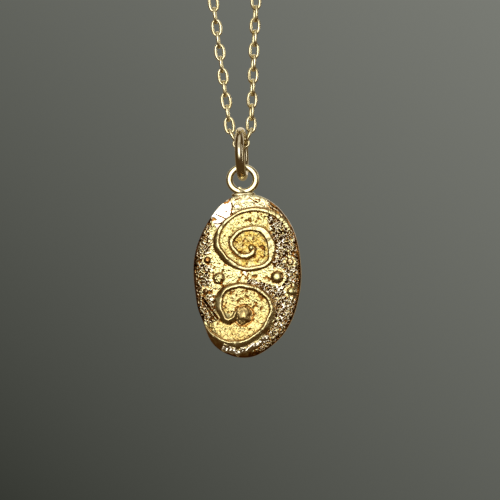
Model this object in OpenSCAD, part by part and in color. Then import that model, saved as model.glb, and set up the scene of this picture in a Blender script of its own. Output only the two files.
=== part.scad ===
// A cast oval pendant with two raised spirals, hanging free from a fine link chain.
// The front faces -Y, +Z is up, and the origin is where a peg inside the chain holds it up.

/* [Plate] */
// Half of the oval plate's width
plate_a = 7.01; // [6.5:0.01:7.5]
// Half of the oval plate's height
plate_b = 10.65; // [10:0.01:11.2]
// Thickness of the plate, without the relief
plate_t = 1.7; // [1.4:0.1:2.2]
// How far the oval leans to its right, in degrees
plate_lean = 5; // [0:0.5:6]
// Squareness of the oval, where 2 is an ellipse
plate_power = 2.1; // [2:0.05:2.4]
// Radius of the rounded front edge
edge_r = 0.45; // [0.3:0.05:0.6]
// Width of the chamfer round the back
back_chamfer = 0.3; // [0.1:0.05:0.5]
// Height of the low swell along the rim
rim_h = 0.16; // [0:0.02:0.3]
// How far the plate sits behind the loop's middle, so that it hangs plumb
plate_back = 0.05; // [0:0.01:0.15]

/* [Loop] */
// Diameter of the loop's wire
loop_wire = 0.8; // [0.6:0.05:0.9]
// Radius of the loop, at the middle of its wire
loop_r = 1.6; // [1.55:0.05:1.7]
// Height of the loop's centre above the middle of the oval
loop_z = 12.7; // [12.6:0.05:12.8]
// Width of the soldered foot under the loop
foot_w = 3; // [2:0.1:3.4]

/* [Jump ring] */
// Diameter of the jump ring's wire
ring_wire = 1.2; // [1:0.05:1.2]
// Radius of the jump ring, at the middle of its wire
ring_r = 2.9; // [2.8:0.05:3.1]
// Height of the jump ring's lowest wire above the middle of the oval, at the wire's middle
hang_z = 13.1; // [13.05:0.01:13.15]

/* [Chain] */
// Outside length of a link
link_l = 2.3; // [2.28:0.01:2.34]
// Outside width of a link
link_w = 1.48; // [1.4:0.01:1.55]
// Thickness of a link's flattened wire
link_t = 0.26; // [0.22:0.01:0.27]
// Links on the right, up to the clasp, without the one in the jump ring
links_right = 100; // [80:2:102]
// Links on the left and over the top, without the one in the jump ring
links_left = 142; // [100:2:142]
// Lean of each side of the chain from the vertical, in degrees
arm_lean = 4.85; // [4.5:0.05:5.5]
// Twist of the right side about its own line, in degrees
right_twist = 20; // [0:1:25]

/* [Clasp] */
// Radius of the clasp's ring, at the middle of its tube
clasp_r = 2.45; // [2.3:0.05:2.6]
// Diameter of the clasp's tube
clasp_wire = 1.1; // [0.9:0.05:1.2]
// Radius of the clasp's small eye, at the middle of its wire
eye_r = 0.85; // [0.8:0.05:1]
// Diameter of the eye's wire
eye_wire = 0.5; // [0.4:0.05:0.6]
// Diameter of the wire of the two end rings
end_wire = 0.4; // [0.3:0.05:0.45]
// Radius of the end ring that joins the chain to the clasp's eye
end_small_r = 1.1; // [1:0.05:1.2]
// Radius of the end ring that the clasp catches
end_large_r = 1.3; // [1.25:0.05:1.4]

/* [Hidden] */
$fn = 48;
gold = [0.83, 0.62, 0.24];

// Play left where one link holds another, and the pitch that this gives
play = 0.18;
pitch = link_l - 2 * link_t - play;

// How far the plate's outline departs from the leaning oval, one row for each 15 degrees of bearing
// from +X, counter-clockwise seen from the front. The dip at 225 is the notch in the lower left edge.
outline_step = 15;
edge_wobble = [
    0.02, 0, 0.08, 0.14, 0.09, 0.08, 0.18, 0.22, 0.06, 0.1, 0.16, 0.1,
    -0.04, -0.17, -0.16, -0.27, 0.13, -0.06, -0.18, -0.3, -0.12, -0.03, -0.02, 0
];

// Each spiral starts at the rim and winds inwards, counter-clockwise.
// Columns: distance from the eye, half width of the ridge, height of the ridge
coil_step = 30;
upper_eye = [0.54, 4.07];
upper_start = 20;
upper_rows = [
    [5.60, 0.55, 0.26], [5.10, 0.62, 0.40], [4.62, 0.68, 0.46], [4.36, 0.70, 0.48],
    [4.26, 0.72, 0.46], [4.17, 0.74, 0.44], [3.42, 0.76, 0.44], [3.06, 0.76, 0.48],
    [3.03, 0.76, 0.50], [3.08, 0.78, 0.50], [3.20, 0.82, 0.50], [2.95, 0.80, 0.50],
    [2.72, 0.76, 0.50], [2.57, 0.72, 0.50], [2.33, 0.66, 0.48], [2.20, 0.64, 0.46],
    [2.26, 0.62, 0.44], [2.30, 0.60, 0.44], [1.92, 0.58, 0.42], [1.60, 0.56, 0.40],
    [1.27, 0.52, 0.38], [1.00, 0.48, 0.36], [0.72, 0.44, 0.34]
];
lower_eye = [-0.31, -4.48];
lower_start = -165;
lower_rows = [
    [5.80, 0.70, 0.36], [4.95, 0.92, 0.50], [4.12, 0.98, 0.58], [3.38, 0.96, 0.58],
    [3.12, 0.90, 0.56], [3.24, 0.86, 0.52], [3.46, 0.80, 0.48], [3.30, 0.72, 0.46],
    [3.30, 0.70, 0.46], [3.55, 0.72, 0.46], [3.82, 0.76, 0.46], [3.40, 0.78, 0.46],
    [2.80, 0.80, 0.48], [1.55, 0.86, 0.52]
];

// Round grains and the knob that ends the lower spiral.
// Columns: place across, place up, radius, height
beads = [
    [-0.54, -4.62, 1.05, 0.62], [0.80, 3.80, 0.50, 0.46], [-5.02, 2.45, 0.55, 0.34],
    [-3.60, 0.02, 0.80, 0.44], [-5.46, -1.65, 0.45, 0.32], [5.78, 1.75, 0.55, 0.28],
    [3.90, -0.05, 0.80, 0.56], [5.80, -2.10, 0.65, 0.44]
];

// The short straight crease beside the lower spiral: its two ends, half width and height
crease_from = [-5.9, -2.44];
crease_to = [-4.0, -5.2];
crease_w = 0.38;
crease_h = 0.16;

// The swell along the rim reaches this far to each side of its crest
rim_w = 0.75;

// The lip along the bottom edge: the bearings where it starts and ends, how far in from the edge it
// lies at each of them, its half width and its height
lip_bearings = [247, 284];
lip_insets = [0.3, 0.9];
lip_w = 0.42;
lip_h = 0.36;

// The front falls towards the edge. Columns: how wide that shoulder is and how far it falls, one row
// for each 45 degrees of bearing
shoulder_step = 45;
shoulder_rows = [
    [1.4, 0.2], [1.6, 0.2], [1.8, 0.2], [1.8, 0.4], [2.2, 0.6], [2.0, 0.5], [1.4, 0.3], [1.6, 0.35]
];

// The front's grid of cells, across and up
cells_across = 56;
cells_up = 80;

// Smooth curve through evenly spaced rows, where u counts rows from the first
function spline(p0, p1, p2, p3, t) =
    p1 + 0.5 * t * ((p2 - p0) + t * ((2 * p0 - 5 * p1 + 4 * p2 - p3) + t * (3 * (p1 - p2) + p3 - p0)));
function row_at(rows, u) =
    let (n = len(rows), i = max(0, min(n - 2, floor(u))))
    spline(rows[max(0, i - 1)], rows[i], rows[i + 1], rows[min(n - 1, i + 2)], u - i);
function ring_at(rows, u) =
    let (n = len(rows), i = floor(u), k = [for (j = [i - 1 : i + 2]) (j % n + n) % n])
    spline(rows[k[0]], rows[k[1]], rows[k[2]], rows[k[3]], u - i);

function turn(p, angle) =
    [p.x * cos(angle) - p.y * sin(angle), p.x * sin(angle) + p.y * cos(angle)];
function bearing(p) = atan2(p.y, p.x);

// Distance from the middle to the ideal oval, and to the hand-shaped outline
function oval_r(angle) =
    let (c = abs(cos(angle + plate_lean)), s = abs(sin(angle + plate_lean)))
    pow(pow(c / plate_a, plate_power) + pow(s / plate_b, plate_power), -1 / plate_power);
function outline_r(angle) = oval_r(angle) + ring_at(edge_wobble, angle / outline_step);

// A rounded bump that is 1 at q = 0 and dies out at q = 1
function bump(q) = q < 1 ? (1 - q * q) * (1 - q * q) : 0;

// Height of a spiral's ridge: on each turn, how far the point is from the ridge's own radius there,
// measured square to the ridge, whose radius changes along the turn
slope_step = 0.1;
function ridge(q, row, lean) = row.z * bump(q / row.y * lean);
function coil_end(p, rows, i, angle) =
    let (row = rows[i], tip = row.x * [cos(angle), sin(angle)])
    row.z * bump(norm(p - tip) / row.y);
function coil(p, eye, start, rows) =
    let (
        d = p - eye,
        r = norm(d),
        last = len(rows) - 1,
        first_turn = start + ((bearing(d) - start) % 360 + 360) % 360
    )
    max([
        coil_end(d, rows, 0, start),
        coil_end(d, rows, last, start + last * coil_step),
        for (angle = [first_turn : 360 : start + last * coil_step])
            let (
                u = (angle - start) / coil_step,
                row = row_at(rows, u),
                before = max(u - slope_step, 0),
                after = min(u + slope_step, last),
                gain = (row_at(rows, after).x - row_at(rows, before).x) / (after - before),
                climb = gain / (coil_step * PI / 180)
            )
            ridge(abs(r - row.x), row, row.x / norm([row.x, climb]))
    ]);

function crease(p) =
    let (
        along = crease_to - crease_from,
        t = max(0, min(1, (p - crease_from) * along / (along * along)))
    )
    crease_h * bump(norm(p - crease_from - t * along) / crease_w);

function lip(p, e) =
    let (t = ((bearing(p) + 360) % 360 - lip_bearings[0]) / (lip_bearings[1] - lip_bearings[0]))
    lip_h * bump(abs(2 * t - 1)) * bump(abs(e - lip_insets[0] - t * (lip_insets[1] - lip_insets[0])) / lip_w);

// The whole relief above the plate, inset from the edge by the distance e
function relief(p, e) =
    max([
        coil(p, upper_eye, upper_start, upper_rows),
        coil(p, lower_eye, lower_start, lower_rows),
        rim_h * bump(abs(e - rim_w) / rim_w),
        crease(p),
        lip(p, e),
        for (b = beads) b[3] * bump(norm(p - [b[0], b[1]]) / b[2])
    ]);
function edge_drop(e) = e < edge_r ? edge_r - sqrt(edge_r * edge_r - pow(edge_r - e, 2)) : 0;
function shoulder(angle, e) =
    let (row = ring_at(shoulder_rows, angle / shoulder_step))
    row.y * pow(max(0, 1 - e / row.x), 1.5);

// A point of the front: u and v run from -1 to 1 and fill the oval without a pole
function plan(u, v) =
    let (
        q = turn([plate_a * u * sqrt(1 - v * v / 2), plate_b * v * sqrt(1 - u * u / 2)], -plate_lean),
        angle = bearing(q)
    )
    q * outline_r(angle) / oval_r(angle);
function front(u, v) =
    let (
        p = plan(u, v),
        angle = bearing(p),
        e = max(0, outline_r(angle) - norm(p)),
        fade = min(1, e / edge_r)
    )
    [p.x, -plate_t / 2 - fade * relief(p, e) + edge_drop(e) + shoulder(angle, e), p.y];

module plate() {
    nx = cells_across;
    nz = cells_up;
    rim = concat(
        [for (i = [0 : nx - 1]) [i, 0]], [for (j = [0 : nz - 1]) [nx, j]],
        [for (i = [nx : -1 : 1]) [i, nz]], [for (j = [nz : -1 : 1]) [0, j]]
    );
    face = [for (j = [0 : nz]) for (i = [0 : nx]) front(2 * i / nx - 1, 2 * j / nz - 1)];
    edge = [for (k = rim) face[k[1] * (nx + 1) + k[0]]];
    side = [for (p = edge) [p.x, plate_t / 2 - back_chamfer, p.z]];
    back = [for (p = edge) let (r = norm([p.x, p.z])) [p.x, 0, p.z] * (1 - back_chamfer / r) + [0, plate_t / 2, 0]];
    n = len(rim);
    f = len(face);
    function at(i, j) = j * (nx + 1) + i;
    // A cell is cut along the diagonal that bends less, so a slanting ridge stays smooth
    function cell(a, b, c, d) =
        abs(face[a].y - face[d].y) < abs(face[b].y - face[c].y)
            ? [[a, c, d], [a, d, b]]
            : [[a, c, b], [b, c, d]];
    polyhedron(
        points = concat(face, side, back),
        faces = concat(
            [for (j = [0 : nz - 1]) for (i = [0 : nx - 1])
                each cell(at(i, j), at(i + 1, j), at(i, j + 1), at(i + 1, j + 1))],
            [for (k = [0 : n - 1]) let (m = (k + 1) % n, a = at(rim[k][0], rim[k][1]), b = at(rim[m][0], rim[m][1]))
                each [[a, b, f + m], [a, f + m, f + k]]],
            [for (k = [0 : n - 1]) let (m = (k + 1) % n)
                each [[f + k, f + m, f + n + m], [f + k, f + n + m, f + n + k]]],
            [[for (k = [0 : n - 1]) f + n + (k + n / 2) % n]]
        )
    );
}

module torus(r, wire)
    rotate_extrude() translate([r, 0]) circle(d = wire);

// Right side of the solder foot, as distance across and height over the loop's lowest wire
foot_side = [[0.5 * foot_w, -0.7], [0.45 * foot_w, -0.15], [0.3 * foot_w, 0], [0.1 * foot_w, 0.2]];
foot_depth = loop_wire + 0.2;

// The plate with its loop soldered on top, in the XZ plane
module foot() {
    last = len(foot_side) - 1;
    rotate([90, 0, 0]) linear_extrude(foot_depth, center = true)
        polygon(concat(foot_side, [for (i = [last : -1 : 0]) [-foot_side[i].x, foot_side[i].y]]));
}

module pendant() {
    color(gold) translate([0, 0, wire_z - 2 * ring_r - hang_z]) {
        translate([0, plate_back, 0]) plate();
        translate([0, 0, loop_z]) rotate([90, 0, 0]) torus(loop_r, loop_wire);
        translate([0, 0, loop_z - loop_r]) foot();
    }
}

module jump_ring()
    color(gold) translate([0, 0, wire_z - ring_r]) rotate([0, 90, 0]) torus(ring_r, ring_wire);

// How the chain runs, seen from the front, with the jump ring's top wire at the origin.
// The middle link lies under that wire, the next one on each side climbs, and then the sides are
// straight up to a round bend over the peg.
link_reach = (link_l - link_t) / 2;
climb = 62;
middle_z = -(ring_wire + link_w) / 2 - play;
hook = [(link_l - link_w) / 2 + 0.12, 0.06];
climb_play = play + 0.05;
climb_seat = climb + 10;
climb_foot = [hook.x, middle_z + hook.y];
climb_mid = climb_foot + link_reach * [cos(climb), sin(climb)];
arm_up = [sin(arm_lean), cos(arm_lean)];
climb_top = climb_foot + 2 * link_reach * [cos(climb), sin(climb)];
arm_foot = climb_top - (link_t + climb_play) * [cos(climb_seat), sin(climb_seat)];
arm_start = arm_foot + link_reach * arm_up;

// Distances between the middles of the clasp's pieces, along the chain
link_in = link_l / 2 - link_t;
small_in = end_small_r - end_wire / 2;
large_in = end_large_r - end_wire / 2;
eye_in = eye_r - eye_wire / 2;
clasp_in = clasp_r - clasp_wire / 2;
to_small = link_in + small_in - play;
to_eye = to_small + small_in + eye_in - play;
eye_sink = 0.1;
eye_to_clasp = clasp_r + clasp_wire / 2 + eye_r - eye_sink;
to_clasp = to_eye + eye_to_clasp;
to_large = to_clasp + clasp_in + large_in - play;
to_link = to_large + large_in + link_in - play;

// The chain's length between the two straight sides' first links, and the bend that closes it
around = pitch * (links_right + links_left - 4) + to_link;
bend_angle = 90 + arm_lean;
bend_share = bend_angle * PI / 180;
rise = (around / 2 + arm_start.x * sin(arm_lean) - bend_share * arm_start.x * cos(arm_lean))
    / (cos(arm_lean) + bend_share * sin(arm_lean));
bend_r = arm_start.x * cos(arm_lean) + rise * sin(arm_lean);
bend_z = arm_start.y + rise;
side_l = rise * cos(arm_lean) - arm_start.x * sin(arm_lean);
bend_l = 2 * bend_r * bend_share;

// Height of the jump ring's top wire, with the inside of the bend at the origin
wire_z = link_w / 2 - bend_r - bend_z;

// Place and direction at the distance s round the chain from the right side's first link:
// across, up, lean of the path from the vertical, and share of the way round
function way(s) =
    s < side_l
        ? [arm_start.x + s * arm_up.x, arm_start.y + s * arm_up.y, arm_lean, 0]
    : s < side_l + bend_l
        ? let (t = (s - side_l) / bend_l, a = -arm_lean + t * 2 * bend_angle)
            [bend_r * cos(a), bend_z + bend_r * sin(a), -a, t]
    : let (q = around - s)
        [-arm_start.x - q * arm_up.x, arm_start.y + q * arm_up.y, 180 - arm_lean, 1];

// Puts a piece drawn along Z at a place on the chain, turned about its own line by roll
module on_way(place, roll)
    translate([place[0], 0, wire_z + place[1]]) rotate([0, place[2], 0]) rotate([0, 0, roll]) children();
function way_roll(s) = right_twist * (1 - way(s)[3]);

module oval(r) {
    square([2 * r, link_l - link_w], center = true);
    for (s = [-1, 1])
        translate([0, s * (link_l - link_w) / 2]) circle(r);
}

// One link, standing in the XZ plane
module link()
    rotate([90, 0, 0]) linear_extrude(link_t, center = true) difference() {
        oval(link_w / 2);
        oval(link_w / 2 - link_t);
    }

function link_roll(k) = k % 2 == 0 ? 0 : 90;

// The link in the jump ring, the climbing one and the rest of the left side, over the top
module chain_left() color(gold) {
    on_way([0, middle_z, 90], 0) link();
    on_way([-climb_mid.x, climb_mid.y, climb - 90], 90) link();
    for (k = [2 : links_left])
        on_way(way(around - pitch * (k - 2)), link_roll(k) + way_roll(around - pitch * (k - 2))) link();
}

module chain_right() color(gold) {
    on_way([climb_mid.x, climb_mid.y, 90 - climb], 90 + right_twist / 2) link();
    for (k = [2 : links_right])
        on_way(way(pitch * (k - 2)), link_roll(k) + way_roll(pitch * (k - 2))) link();
}

clasp_start = pitch * (links_right - 2);

module end_ring_small()
    color(gold) on_way(way(clasp_start + to_small), 90 + right_twist)
        rotate([90, 0, 0]) torus(end_small_r, end_wire);

module end_ring_large()
    color(gold) on_way(way(clasp_start + to_large), 90 + right_twist)
        rotate([90, 0, 0]) torus(end_large_r, end_wire);

// A round clasp in one plain piece: a thick ring with a small eye below it
module clasp()
    color(gold) on_way(way(clasp_start + to_clasp), right_twist) rotate([90, 0, 0]) {
        torus(clasp_r, clasp_wire);
        translate([0, -eye_to_clasp]) torus(eye_r, eye_wire);
    }

pendant();
jump_ring();
chain_left();
chain_right();
end_ring_small();
end_ring_large();
clasp();
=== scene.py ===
# %% [markdown]
# A cast spiral pendant on a cable chain, in gold plate.
#
# The real thing is a small oval plate, sand-cast in brass with two spirals raised on its front. A
# wire loop is soldered on top, a round jump ring passes through it, and a fine cable chain passes
# through the ring. All of it was then plated with gold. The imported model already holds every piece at
# its true place and size, so this lesson only gives the pieces their finish and their fine form.

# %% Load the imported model
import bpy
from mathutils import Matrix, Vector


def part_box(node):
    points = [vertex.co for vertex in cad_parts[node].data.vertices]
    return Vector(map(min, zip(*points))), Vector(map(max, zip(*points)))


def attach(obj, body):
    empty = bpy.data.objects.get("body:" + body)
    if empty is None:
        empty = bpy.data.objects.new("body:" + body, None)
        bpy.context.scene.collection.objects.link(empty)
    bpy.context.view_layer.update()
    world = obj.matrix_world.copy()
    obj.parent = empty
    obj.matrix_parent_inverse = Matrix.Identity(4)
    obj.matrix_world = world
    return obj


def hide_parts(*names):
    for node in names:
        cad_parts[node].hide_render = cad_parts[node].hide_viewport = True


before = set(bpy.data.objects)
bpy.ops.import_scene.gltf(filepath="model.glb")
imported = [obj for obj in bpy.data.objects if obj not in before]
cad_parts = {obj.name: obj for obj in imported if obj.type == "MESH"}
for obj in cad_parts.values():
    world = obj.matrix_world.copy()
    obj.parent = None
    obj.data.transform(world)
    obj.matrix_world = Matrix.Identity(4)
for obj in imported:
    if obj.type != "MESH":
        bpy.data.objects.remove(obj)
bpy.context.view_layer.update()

# %% [markdown]
# Every function below works in millimetres, and one constant turns them to metres when a mesh is
# made. The jump ring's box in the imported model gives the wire's thickness and where the pendant
# hangs, and other places are counted from there.

# %% Measure the jump ring
from math import cos, pi, radians, sin
from types import SimpleNamespace

import bpy
import numpy as np
from mathutils import Matrix, Vector

MM = 0.001
ring_low, ring_high = [np.array(corner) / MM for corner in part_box("jump_ring")]
RING_WIRE = ring_high[0] - ring_low[0]
RING_RADIUS = (ring_high[2] - ring_low[2] - RING_WIRE) / 2
RING_TOP = ring_high[2] - RING_WIRE / 2
RING_MIDDLE = RING_TOP - RING_RADIUS
HANG_WIRE = RING_TOP - 2 * RING_RADIUS
HANG_OVER_PLATE = 13.1
PLATE_MIDDLE = HANG_WIRE - HANG_OVER_PLATE
print(f"ring of {RING_WIRE:.2f} mm wire, plate's middle at {PLATE_MIDDLE:.2f} mm")

# %% [markdown]
# The photograph was taken with a long lens, level with the pendant and about five degrees from its
# right, and the picture is turned a little, as the way that the pendant hangs shows. The camera's
# place follows from one point that is easy to find in the picture: the lowest wire of the jump ring.

# %% Camera
PHOTO_SIDE = 500
PHOTO_MM_PER_PIXEL = 0.13
PHOTO_HANG_WIRE = (242.6, 176.4)
CAMERA_AZIMUTH = radians(5.3)
CAMERA_ROLL = radians(2.6)
CAMERA_DISTANCE = 900.0
CAMERA_FAR_M = 20
SENSOR_MM = 36.0


def add_object(name, data):
    """Puts a new object with this camera, mesh or lamp into the scene."""
    thing = bpy.data.objects.new(name, data)
    bpy.context.scene.collection.objects.link(thing)
    return thing


# Level right is (cos azimuth, sin azimuth, 0). Right and top are turned by the roll round the way the
# camera looks. The hang wire lands on its own pixel of the picture
level, up = Vector((cos(CAMERA_AZIMUTH), sin(CAMERA_AZIMUTH), 0)), Vector((0, 0, 1))
right = level * cos(CAMERA_ROLL) - up * sin(CAMERA_ROLL)
top = level * sin(CAMERA_ROLL) + up * cos(CAMERA_ROLL)
ahead = top.cross(right)
across = (PHOTO_SIDE / 2 - PHOTO_HANG_WIRE[0]) * PHOTO_MM_PER_PIXEL
down = (PHOTO_SIDE / 2 - PHOTO_HANG_WIRE[1]) * PHOTO_MM_PER_PIXEL
AIM = Vector((0, 0, HANG_WIRE)) + right * across - top * down
camera = add_object("camera", bpy.data.cameras.new("camera"))
camera.data.sensor_width = SENSOR_MM
camera.data.lens = SENSOR_MM * CAMERA_DISTANCE / (PHOTO_SIDE * PHOTO_MM_PER_PIXEL)
camera.data.clip_end = CAMERA_FAR_M
turned = Matrix((right, top, -ahead)).transposed().to_4x4()
camera.matrix_world = Matrix.Translation((AIM - ahead * CAMERA_DISTANCE) * MM) @ turned
bpy.context.scene.camera = camera
print("camera aims at", [round(v, 2) for v in AIM])

# %% [markdown]
# Every finish below is a small tree of shader nodes. One function adds a node with its settings and
# links. Three more add what is used most: a ramp between two values, a blend of two colours, and noise.
# Colours are written as sRGB and turned into the linear ones that Blender adds up as light.

# %% Helpers for materials
# The numbers of a mix node's sockets for colours
MIX_SHARE, MIX_A, MIX_B, MIX_OUT = 0, 6, 7, 2


def linear(code):
    """sRGB hex to linear: c / 12.92 near black, else ((c + 0.055) / 1.055) to the power 2.4."""
    parts = [int(code[k : k + 2], 16) / 255 for k in (1, 3, 5)]
    return [c / 12.92 if c <= 0.04045 else ((c + 0.055) / 1.055) ** 2.4 for c in parts] + [1.0]


def add(tree, kind, settings=None):
    """Adds a shader node with its properties and inputs. An input given an output is linked to it."""
    node = tree.nodes.new("ShaderNode" + kind)
    for name, value in (settings or {}).items():
        if isinstance(value, bpy.types.NodeSocket):
            tree.links.new(value, node.inputs[name])
        elif isinstance(name, int) or name in node.inputs:
            node.inputs[name].default_value = value
        else:
            setattr(node, name, value)
    return node


def ramp(tree, value, low, high, start=0.0, end=1.0):
    """Runs from start, where the value is low, to end, where it is high."""
    settings = {"Value": value, "From Min": low, "From Max": high, "To Min": start, "To Max": end}
    return add(tree, "MapRange", settings).outputs["Result"]


def blend(tree, first, second, share):
    """Mixes two colours, each a code or an output, by a share from 0 to 1."""
    first, second = [linear(c) if isinstance(c, str) else c for c in (first, second)]
    settings = {"data_type": "RGBA", MIX_SHARE: share, MIX_A: first, MIX_B: second}
    return add(tree, "Mix", settings).outputs[MIX_OUT]


def patches(tree, size, detail, roughness=0.5):
    """Noise from 0 to 1 in patches of the size in millimetres."""
    place = add(tree, "TexCoord").outputs["Object"]
    look = {"Vector": place, "Scale": 1 / (size * MM), "Detail": detail, "Roughness": roughness}
    return add(tree, "TexNoise", look).outputs["Fac"]


def new_material(name):
    """An empty material and its tree."""
    material = bpy.data.materials.new(name)
    material.use_nodes = True
    material.node_tree.nodes.clear()
    print("material", name)
    return material, material.node_tree


def add_shader(tree, finish):
    """Ends a material's tree with its shader."""
    shader = add(tree, "BsdfPrincipled", finish)
    add(tree, "OutputMaterial", {"Surface": shader.outputs[0]})


# %% [markdown]
# A mesh is made straight from arrays. Each shape is a grid of points, worked out as a whole, and the
# faces of a grid follow one rule, so they are arrays too.

# %% Helpers for meshes


def grid_faces(rows, columns, close_rows=False, close_columns=False):
    """Quads (i, j), (i, j+1), (i+1, j+1), (i+1, j) of a grid numbered row by row."""
    i = np.arange(rows if close_rows else rows - 1)[:, None]
    j = np.arange(columns if close_columns else columns - 1)[None, :]
    row, next_row, next_j = i * columns, (i + 1) % rows * columns, (j + 1) % columns
    corners = np.broadcast_arrays(row + j, row + next_j, next_row + next_j, next_row + j)
    return np.stack(corners, -1).reshape(-1, 4)


def shade_smooth(mesh):
    """Lets the light run smoothly over the faces."""
    mesh.polygons.foreach_set("use_smooth", np.ones(len(mesh.polygons), dtype=bool))


def make_mesh(name, points, faces, material, attributes=None):
    """A mesh of points in millimetres, arrays of faces and attributes with a number for each point."""
    mesh = bpy.data.meshes.new(name)
    corners = []
    for group in faces:
        corners += group.tolist()
    mesh.from_pydata((points * MM).tolist(), [], corners)
    mesh.validate()
    for title, values in (attributes or {}).items():
        layer = mesh.attributes.new(title, "FLOAT", "POINT")
        layer.data.foreach_set("value", values.astype(np.float32))
    mesh.materials.append(material)
    shade_smooth(mesh)
    return mesh


def make_piece(name, points, faces, material, body, nodes, attributes=None):
    """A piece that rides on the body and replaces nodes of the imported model."""
    mesh = make_mesh(name, points, faces, material, attributes)
    piece = add_object(name, mesh)
    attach(piece, body)
    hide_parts(*nodes)
    print(f"{name}: {len(points)} points, {len(mesh.polygons)} faces")
    return piece


# %% [markdown]
# The loop, the jump ring, the clasp and the chain are drawn brass wire under a thin gold plate.
# Drawing leaves it smooth, so it mirrors the lamps in narrow bands with nearly black beside them. The
# chain's wire was rolled flat, which left it rougher and paler. The jump ring gets a dimmer copy of
# the same finish: painted shade, which darkens its sides.

# %% Gold-plated wire
GOLD_PALE = "#DED99A"
GOLD_WARM = "#CAAE55"
# Near white for burnished places, which also paints highlights on the plate
GOLD_WORN_HIGHLIGHT = "#FBF4E0"
GOLD_BRIGHT = "#E4D8AC"
GOLD_DIM = "#CFC4A4"
GOLD_CREAM = "#F9EFC3"
HAZE_MM = 1.2
HAZE_DULLS = 2.2
# The noise's values between which the haze and the warmth set in
HAZE_RANGE, WARM_RANGE = (0.35, 0.7), (0.35, 0.75)


def gold_plated_wire(name, colour, roughness, warmth):
    """Gold plate on drawn brass wire: a clear mirror, hazed and warmed by wear in soft patches."""
    material, tree = new_material(name)
    haze = patches(tree, HAZE_MM, 3.0)
    warm = ramp(tree, haze, *WARM_RANGE, 0.0, warmth)
    dull = ramp(tree, haze, *HAZE_RANGE, roughness, roughness * HAZE_DULLS)
    colour = blend(tree, colour, GOLD_WARM, warm)
    add_shader(tree, {"Metallic": 1.0, "Base Color": colour, "Roughness": dull})
    return material


wire_gold = gold_plated_wire("gold_plated_drawn_wire", GOLD_BRIGHT, 0.09, 0.5)
chain_gold = gold_plated_wire("gold_plated_flattened_wire", GOLD_CREAM, 0.16, 0.45)
# The jump ring's dimmer copy is painted shade for its dark sides
dimmed_ring_gold = gold_plated_wire("gold_plated_dimmed_wire", GOLD_DIM, 0.09, 0.2)

# %% [markdown]
# The plate is cast, with the sand's grain in it. Its high places were burnished by handling, and
# their near-white colour is partly wear and partly painted highlight, also on other places that catch
# the lamps. Tarnish begins as a red film and ends as a dark brown crust, which stays in the hollows.
# The same two colours also paint shade on steep flanks, along the rim and round the grains and knob.

# %% Gold-plated sand casting
# Red film and dark brown crust of tarnish; the same colours also paint shade
RED_TARNISH_AND_SHADE = "#A26C2C"
DARK_TARNISH_AND_SHADE = "#1C0F07"
MOTTLE_MM = 0.7
# The noise's values between which a patch gets warm, and how warm the others are
MOTTLE_RANGE = (0.38, 0.62, 0.15)
PIT_MM = 0.22
PIT_DEPTH_MM = 0.02
# The tarnish or painted shade at which the red is full and the dark brown begins
REDDENING_FULL = 0.6
# Roughness of plain gold outside and inside the spirals, and of burnished gold
ROUGH_GROUND, ROUGH_FLOOR, ROUGH_BRIGHT = 0.31, 0.4, 0.16


def gold_plated_casting():
    """Gold plate on sand-cast brass, which reads three attributes of the mesh.

    floor is 1 on the smooth warm ground inside the spirals, bright is 1 where the metal is
    burnished or a highlight is painted, and tarnish_and_shade is 1 in the hollows and where shade
    is painted.
    """
    material, tree = new_material("gold_plated_sand_casting")
    floor, bright, tarnish_and_shade = [
        add(tree, "Attribute", {"attribute_name": name}).outputs["Fac"]
        for name in ("floor", "bright", "tarnish_and_shade")
    ]
    mottle = ramp(tree, patches(tree, MOTTLE_MM, 4.0, 0.65), *MOTTLE_RANGE)
    warm = add(tree, "Math", {"operation": "MULTIPLY", 0: mottle, 1: floor}).outputs[0]
    reddening, darkening = ramp(tree, tarnish_and_shade, 0.0, REDDENING_FULL), ramp(tree, tarnish_and_shade, REDDENING_FULL, 1.0)
    layers = [(GOLD_WARM, warm), (GOLD_WORN_HIGHLIGHT, bright), (RED_TARNISH_AND_SHADE, reddening), (DARK_TARNISH_AND_SHADE, darkening)]
    colour = GOLD_PALE
    for code, share in layers:
        colour = blend(tree, colour, code, share)
    ground = ramp(tree, floor, 0.0, 1.0, ROUGH_GROUND, ROUGH_FLOOR)
    rough = ramp(tree, bright, 0.0, 1.0, ground, ROUGH_BRIGHT)
    pits = {"Height": patches(tree, PIT_MM, 2.0), "Strength": 0.5, "Distance": PIT_DEPTH_MM * MM}
    pitted = add(tree, "Bump", pits).outputs["Normal"]
    add_shader(tree, {"Metallic": 1.0, "Base Color": colour, "Roughness": rough, "Normal": pitted})
    return material


cast_gold = gold_plated_casting()

# %% [markdown]
# The plate's outline is an oval that leans, with a small departure for each fifteen degrees of
# bearing. The front is a grid that fills the oval without a pole: a square is bent to a disc,
# stretched to the oval and turned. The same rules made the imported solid, so the finer mesh fits it.

# %% The plate's outline
PLATE_A, PLATE_B, PLATE_POWER = 7.01, 10.65, 2.1
PLATE_LEAN = radians(5)
WOBBLE_STEP = radians(15)
# How far the outline departs from the oval, for each 15 degrees from the right, counter-clockwise
EDGE_WOBBLE = np.array([
    0.02, 0, 0.08, 0.14, 0.09, 0.08, 0.18, 0.22, 0.06, 0.1, 0.16, 0.1,
    -0.04, -0.17, -0.16, -0.27, 0.13, -0.06, -0.18, -0.3, -0.12, -0.03, -0.02, 0,
])


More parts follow.
